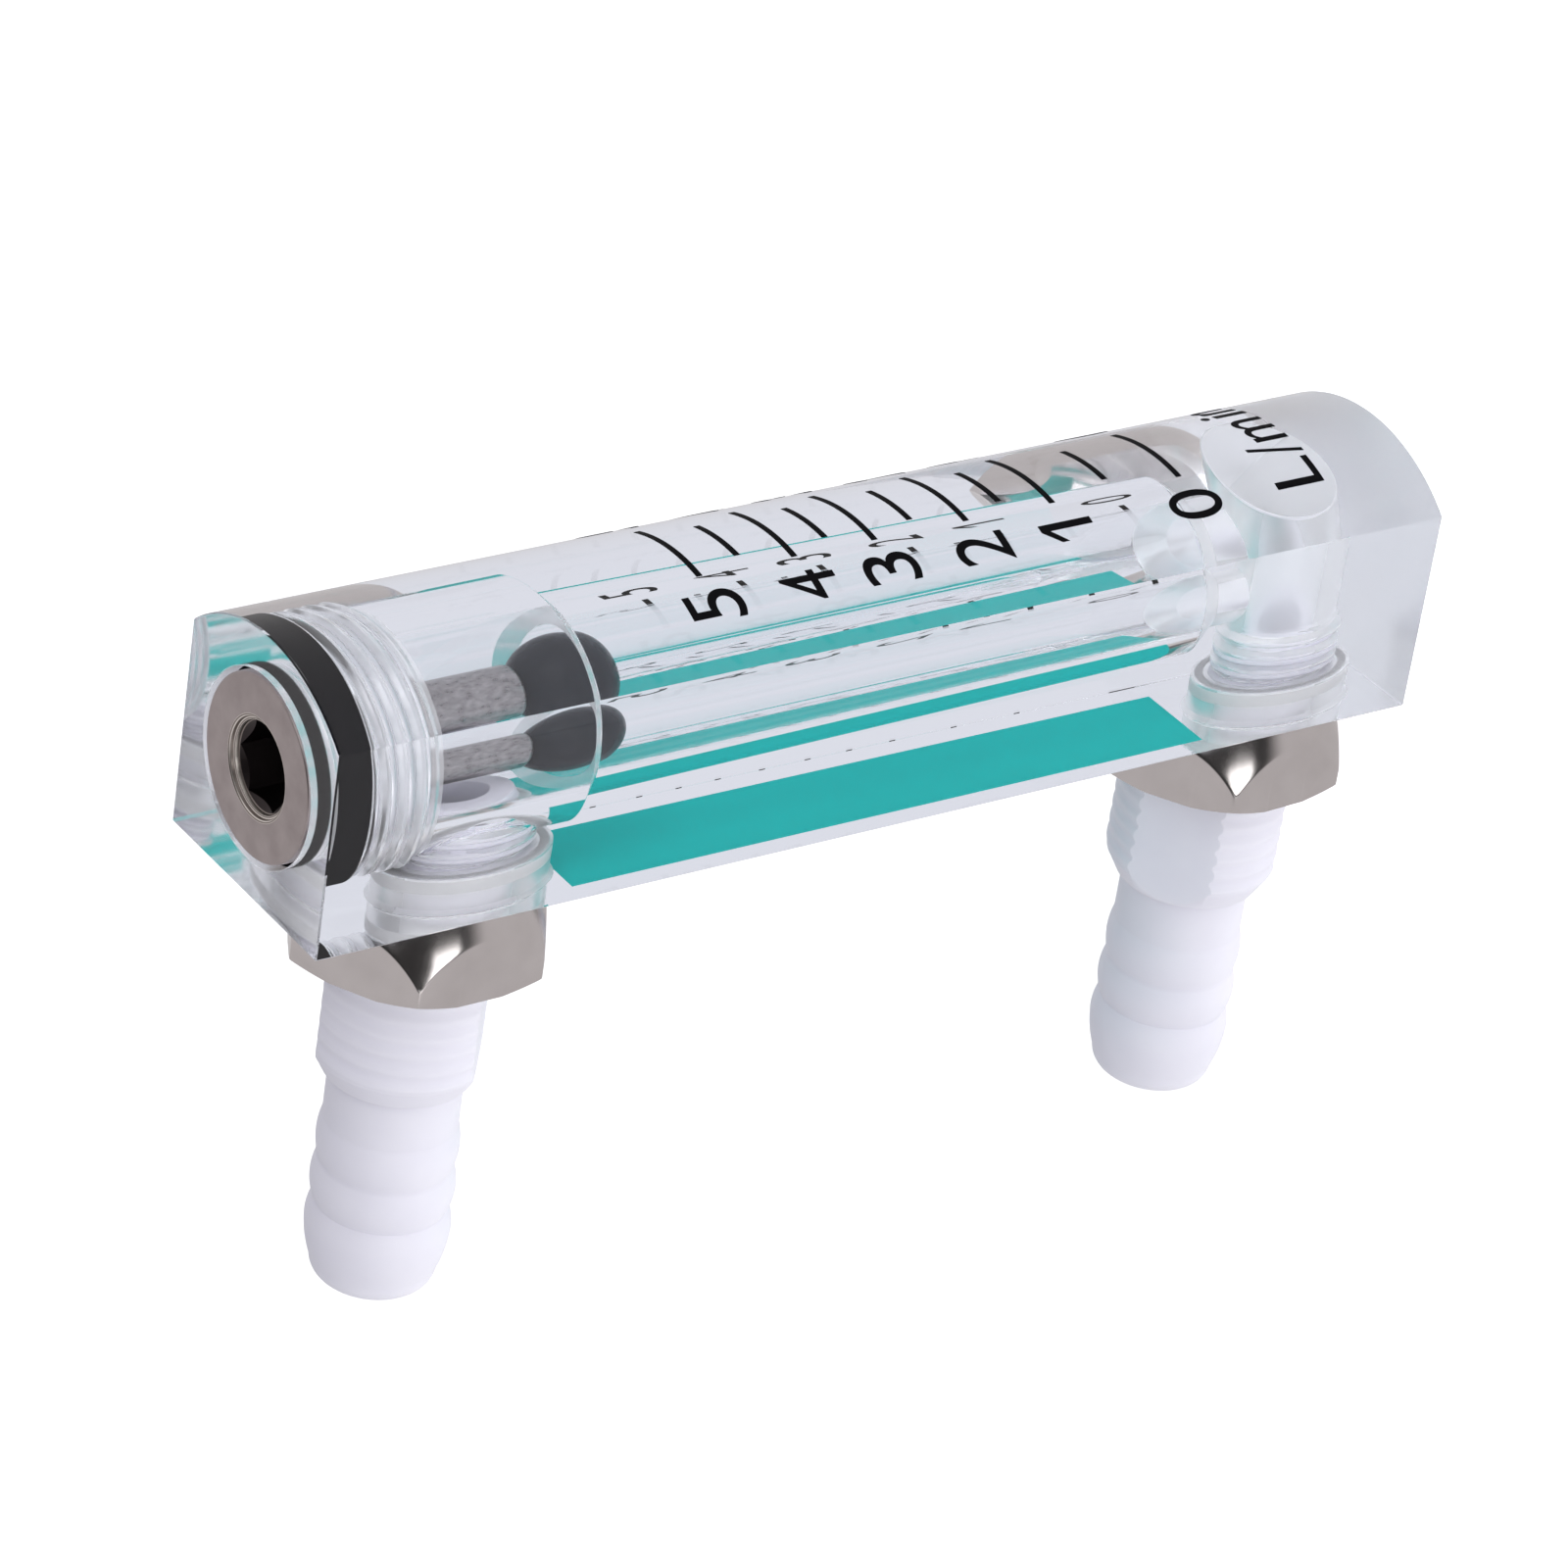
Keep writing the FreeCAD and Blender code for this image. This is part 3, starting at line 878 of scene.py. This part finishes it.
def make_nut(side):
    """Columns of the nut follow its hexagon, so each cone meets each flat in a true scallop."""
    apothem, bore, circle, mouth, edge = 9.5, shank_radius, 9.7, 0.5, 0.1
    near, far = nut_low.y, nut_high.y
    middle = (near + far) / 2
    mid_cone, lean, crown = 2.73, 0.55, 0.026
    face = apothem - mid_cone * lean - crown * mid_cone ** 2
    back_lean = math.tan(math.radians(30.0))
    columns, cone_steps = 360, 8
    turn = math.radians(nut_turn[side])
    place = about_port(port_heights[side])

    def crowned_station(radius):
        # How far the crowned cone is from the near face where it has this radius. It solves
        # radius = apothem + lean * t - crown * t ** 2, where t is 0 in the middle of a flat.
        root = math.sqrt(lean ** 2 - 4 * crown * (radius - apothem))
        return mid_cone + (lean - root) / (2 * crown)

    mesh = bmesh.new()
    grid = []
    for column in range(columns):
        angle = math.tau * column / columns + turn
        hexagon = hexagon_radius(apothem, angle, turn, 0.12)
        cone_end = near + crowned_station(hexagon)
        back_start = far - (hexagon - circle) * back_lean if hexagon > circle else far
        cone = []
        for step in range(1, cone_steps):
            radius = face + (hexagon - face) * step / cone_steps
            cone.append((radius, near + crowned_station(radius), 0))
        line = rounded([
            (bore, middle, 0),
            (bore, near + mouth, edge),
            (bore + mouth, near, edge),
            (face, near, 0.12),
            *cone,
            (hexagon, cone_end, 0.22),
            (hexagon, max(back_start, cone_end + 0.3), edge),
            (min(hexagon, circle), far, edge),
            (bore + mouth, far, edge),
            (bore, far - mouth, edge),
            (bore, middle + 0.1, 0),
        ])
        grid.append([mesh.verts.new(Vector(place(r, t, angle)) * MM) for r, t in line])
    rows = len(grid[0])
    for column in range(columns):
        here, there = grid[column], grid[(column + 1) % columns]
        for row in range(rows):
            after = (row + 1) % rows
            mesh.faces.new((here[row], here[after], there[after], there[row]))
    bmesh.ops.remove_doubles(mesh, verts=mesh.verts, dist=1e-7)
    bmesh.ops.dissolve_degenerate(mesh, edges=mesh.edges, dist=1e-8)
    bmesh.ops.recalc_face_normals(mesh, faces=mesh.faces)
    piece = to_object(mesh, side + "_lock_nut")
    shade(piece, 20)
    return dress(piece, nickel, "nickel_plate", METER, side + "_nut")


# Print: the teal band, the scale marks, the numbers and the unit

ink_sunk = 0.015
ink_proud = 0.035


def on_dome(arc, height, proud):
    angle = arc / dome_radius
    radius = dome_radius + proud
    return Vector((radius * math.sin(angle), dome_centre - radius * math.cos(angle), height)) * MM


def wrap_flat(mesh, name):
    """Bends a flat bmesh of (arc, height) faces over the dome as a thin film of ink."""
    arcs = [vertex.co.x for vertex in mesh.verts]
    step = 0.25
    index = math.floor(min(arcs) / step)
    while index * step < max(arcs):
        everything = mesh.verts[:] + mesh.edges[:] + mesh.faces[:]
        bmesh.ops.bisect_plane(mesh, geom=everything, plane_co=(index * step, 0, 0),
                               plane_no=(1, 0, 0))
        index += 1
    flats = bmesh.ops.extrude_face_region(mesh, geom=list(mesh.faces))
    for item in flats["geom"]:
        if isinstance(item, bmesh.types.BMVert):
            item.co.z = 1.0
    for vertex in mesh.verts:
        proud = ink_proud if vertex.co.z > 0.5 else -ink_sunk
        vertex.co = on_dome(vertex.co.x, vertex.co.y, proud)
    bmesh.ops.recalc_face_normals(mesh, faces=mesh.faces)
    return to_object(mesh, name)


def letter_mesh(text):
    """A flat bmesh of a plain letter, and its lowest and highest corner."""
    curve = bpy.data.curves.new("letter", "FONT")
    curve.body = text
    curve.size = 1.0
    curve.resolution_u = 10
    holder = bpy.data.objects.new("letter", curve)
    bpy.context.scene.collection.objects.link(holder)
    graph = bpy.context.evaluated_depsgraph_get()
    flat = bpy.data.meshes.new_from_object(holder.evaluated_get(graph))
    bpy.data.objects.remove(holder)
    bpy.data.curves.remove(curve)
    mesh = bmesh.new()
    mesh.from_mesh(flat)
    bpy.data.meshes.remove(flat)
    bmesh.ops.remove_doubles(mesh, verts=mesh.verts, dist=1e-5)
    low = Vector((min(v.co.x for v in mesh.verts), min(v.co.y for v in mesh.verts)))
    high = Vector((max(v.co.x for v in mesh.verts), max(v.co.y for v in mesh.verts)))
    return mesh, low, high


def print_letter(name, text, arc_low, arc_high, low, high):
    mesh, first, last = letter_mesh(text)
    for vertex in mesh.verts:
        across = (vertex.co.x - first.x) / (last.x - first.x)
        up = (vertex.co.y - first.y) / (last.y - first.y)
        vertex.co = Vector((arc_low + across * (arc_high - arc_low), low + up * (high - low), 0))
    return dress(wrap_flat(mesh, name), ink, "black_print", METER)


def print_shape(name, corners, *nodes):
    mesh = bmesh.new()
    mesh.faces.new([mesh.verts.new((arc, height, 0)) for arc, height in corners])
    mesh.normal_update()
    bmesh.ops.triangulate(mesh, faces=mesh.faces)
    return dress(wrap_flat(mesh, name), ink, "black_print", METER, *nodes)


def print_bar(name, arc_low, arc_high, low, high, *nodes):
    corners = [(arc_low, low), (arc_high, low), (arc_high, high), (arc_low, high)]
    return print_shape(name, corners, *nodes)


def print_one(name, middle, low, high):
    """The figure 1: a stem with a flag and no foot."""
    stem, width, flag, drop = 0.66, 1.85, 0.66, 1.35
    right = middle + width / 2
    left = middle - width / 2
    corners = [(right - stem, low), (right, low), (right, high), (right - stem, high),
               (left, high - drop), (left, high - drop - flag), (right - stem, high - flag - 0.15)]
    return print_shape(name, corners)


scale_zero = 21.6
scale_length = 45.1
scale_shares = (0.0, 0.139, 0.273, 0.366, 0.455, 0.552, 0.645, 0.727, 0.809, 0.905, 1.0)
mark_width = 0.54
number_height = 4.9
number_half = 1.4
number_lift = 0.3
number_columns = {"left": -6.0, "right": 9.6}
long_mark, short_mark = (-3.0, 5.5), (-1.6, 3.9)

# The unit's letters: each with its arc from and to, and its height from and to
unit_letters = {
    "unit_L": ("L", -6.36, -3.5, 9.3, 13.9),
    "unit_slash": ("/", -2.95, -1.6, 9.1, 14.0),
    "unit_m": ("m", -1.0, 3.0, 9.2, 12.4),
    "unit_i": ("i", 4.3, 5.1, 9.2, 13.5),
    "unit_n": ("n", 5.8, 8.2, 9.2, 12.4),
}


def arc_of(x):
    return dome_radius * math.asin(x / dome_radius)


def make_scale():
    for index, share in enumerate(scale_shares):
        middle = scale_zero + share * scale_length
        start, end = short_mark if index % 2 else long_mark
        nodes = ["scale_graduations"] if index == 0 else []
        print_bar("scale_mark_%02d" % index, arc_of(start), arc_of(end),
                  middle - mark_width / 2, middle + mark_width / 2, *nodes)
    for number, share in enumerate(scale_shares[::2]):
        middle = scale_zero + share * scale_length + number_lift
        low, high = middle - number_height / 2, middle + number_height / 2
        for column, arc in number_columns.items():
            name = "number_%d_%s" % (number, column)
            if number == 1:
                print_one(name, arc, low, high)
            else:
                print_letter(name, str(number), arc - number_half, arc + number_half, low, high)


def make_unit():
    for name, (text, *place) in unit_letters.items():
        print_letter(name, text, *place)


def make_stripe():
    section = [(stripe_low.x, back_face - ink_sunk), (stripe_high.x, back_face - ink_sunk),
               (stripe_high.x, back_face + ink_proud), (stripe_low.x, back_face + ink_proud)]
    piece = to_object(prism(section, stripe_low.z, stripe_high.z, 0.005), "teal_band")
    return dress(piece, teal, "teal_print", METER, "back_stripe")


make_block()
make_plug()
make_seal()
make_pin()
make_ball()
for side in ("outlet", "inlet"):
    make_fitting(side)
    make_fitting_seal(side)
    make_nut(side)
make_stripe()
make_scale()
make_unit()


# Camera at the photograph's place and turn
camera_place = Vector((-364.4, -259.4, 343.9)) * MM
camera_right = Vector((-0.5547, -0.1346, -0.8211)).normalized()
camera_ahead = Vector((0.6756, 0.5033, -0.5388)).normalized()
camera_right = (camera_right - camera_ahead * camera_right.dot(camera_ahead)).normalized()
camera_up = camera_right.cross(camera_ahead)
camera_data = bpy.data.cameras.new("camera")
camera_data.sensor_width = 36.0
camera_data.lens = 160.06
camera = bpy.data.objects.new("camera", camera_data)
bpy.context.scene.collection.objects.link(camera)
camera_turn = Matrix((camera_right, camera_up, -camera_ahead)).transposed()
camera.matrix_world = Matrix.Translation(camera_place) @ camera_turn.to_4x4()
bpy.context.scene.camera = camera


# Floor, lamps and world

# What the clear block shows of the pale floor and background
through_block = (0.735, 0.75, 0.82)


def make_floor():
    mesh = bmesh.new()
    reach = 1.5
    base = cad_low.z
    corners = [mesh.verts.new((x, y, base)) for x, y in
               ((-reach, -reach), (reach, -reach), (reach, reach), (-reach, reach))]
    mesh.faces.new(corners)
    floor = to_object(mesh, "floor")
    material, tree, shader, output = new_material("white_floor")
    shader.inputs["Base Color"].default_value = (0.86, 0.86, 0.86, 1)
    shader.inputs["Roughness"].default_value = 0.9
    shader.inputs["Specular IOR Level"].default_value = 0.1
    shader.inputs["Emission Color"].default_value = (1, 1, 1, 1)
    shader.inputs["Emission Strength"].default_value = 0.66
    path = tree.nodes.new("ShaderNodeLightPath")
    pale = tree.nodes.new("ShaderNodeEmission")
    pale.inputs["Color"].default_value = (*through_block, 1)
    mix = tree.nodes.new("ShaderNodeMixShader")
    tree.links.new(path.outputs["Is Transmission Ray"], mix.inputs["Fac"])
    tree.links.new(shader.outputs["BSDF"], mix.inputs[1])
    tree.links.new(pale.outputs["Emission"], mix.inputs[2])
    tree.links.new(mix.outputs["Shader"], output.inputs["Surface"])
    floor.data.materials.append(material)
    # The metal mirrors the studio's world, and not the floor.
    floor.visible_glossy = False


def make_lamp(name, place, size, power, aim=(0, 0, 0.05)):
    data = bpy.data.lights.new(name, "AREA")
    data.shape = "RECTANGLE"
    data.size, data.size_y = size
    data.energy = power
    lamp = bpy.data.objects.new(name, data)
    lamp.location = place
    lamp.rotation_euler = (Vector(aim) - Vector(place)).to_track_quat("-Z", "Y").to_euler()
    bpy.context.scene.collection.objects.link(lamp)


make_floor()

# Softboxes: a place and a size in metres, a power in watts, and the last one's aim at the nuts
make_lamp("key_softbox", (-0.25, -0.55, 0.45), (0.5, 0.5), 1.0)
make_lamp("side_softbox", (-0.65, 0.25, 0.25), (0.4, 0.6), 0.5)
make_lamp("nut_softbox", (-0.665, -0.165, 0.142), (0.19, 0.26), 0.42, (0, 0.02, 0.086))

# The camera sees a white world, and the clear block shows it a little darker. Mirrored, it is a
# pale studio with a dark field around the camera's place. A refracted ray counts as glossy too,
# so transmission comes after glossy.
world = bpy.data.worlds.new("studio")
bpy.context.scene.world = world
world.use_nodes = True
tree = world.node_tree


def background(colour, strength):
    node = tree.nodes.new("ShaderNodeBackground")
    node.inputs["Color"].default_value = (*colour, 1)
    node.inputs["Strength"].default_value = strength
    return node


direction = tree.nodes.new("ShaderNodeTexCoord")
facing = tree.nodes.new("ShaderNodeVectorMath")
facing.operation = "DOT_PRODUCT"
facing.inputs[1].default_value = -camera_ahead
tree.links.new(direction.outputs["Generated"], facing.inputs[0])
field = tree.nodes.new("ShaderNodeMapRange")
field.interpolation_type = "SMOOTHSTEP"
for setting, value in (("From Min", 0.42), ("From Max", 0.72), ("To Min", 0.60), ("To Max", 0.03)):
    field.inputs[setting].default_value = value
tree.links.new(facing.outputs["Value"], field.inputs["Value"])
studio = background((1.0, 0.97, 0.98), 1.0)
tree.links.new(field.outputs["Result"], studio.inputs["Strength"])
seen_by = {
    "Is Glossy Ray": studio,
    "Is Transmission Ray": background(through_block, 1.0),
    "Is Camera Ray": background((1, 1, 1), 1.0),
}
path = tree.nodes.new("ShaderNodeLightPath")
last = background((0.95, 0.95, 1.0), 0.55)
for ray, shown in seen_by.items():
    pick = tree.nodes.new("ShaderNodeMixShader")
    tree.links.new(path.outputs[ray], pick.inputs["Fac"])
    tree.links.new(last.outputs[0], pick.inputs[1])
    tree.links.new(shown.outputs["Background"], pick.inputs[2])
    last = pick
tree.links.new(last.outputs["Shader"], tree.nodes["World Output"].inputs["Surface"])

# Light takes many turns inside the clear block before it leaves.
bpy.context.scene.cycles.max_bounces = 32
bpy.context.scene.cycles.transmission_bounces = 32
bpy.context.scene.cycles.glossy_bounces = 16
bpy.context.scene.view_settings.view_transform = "Standard"
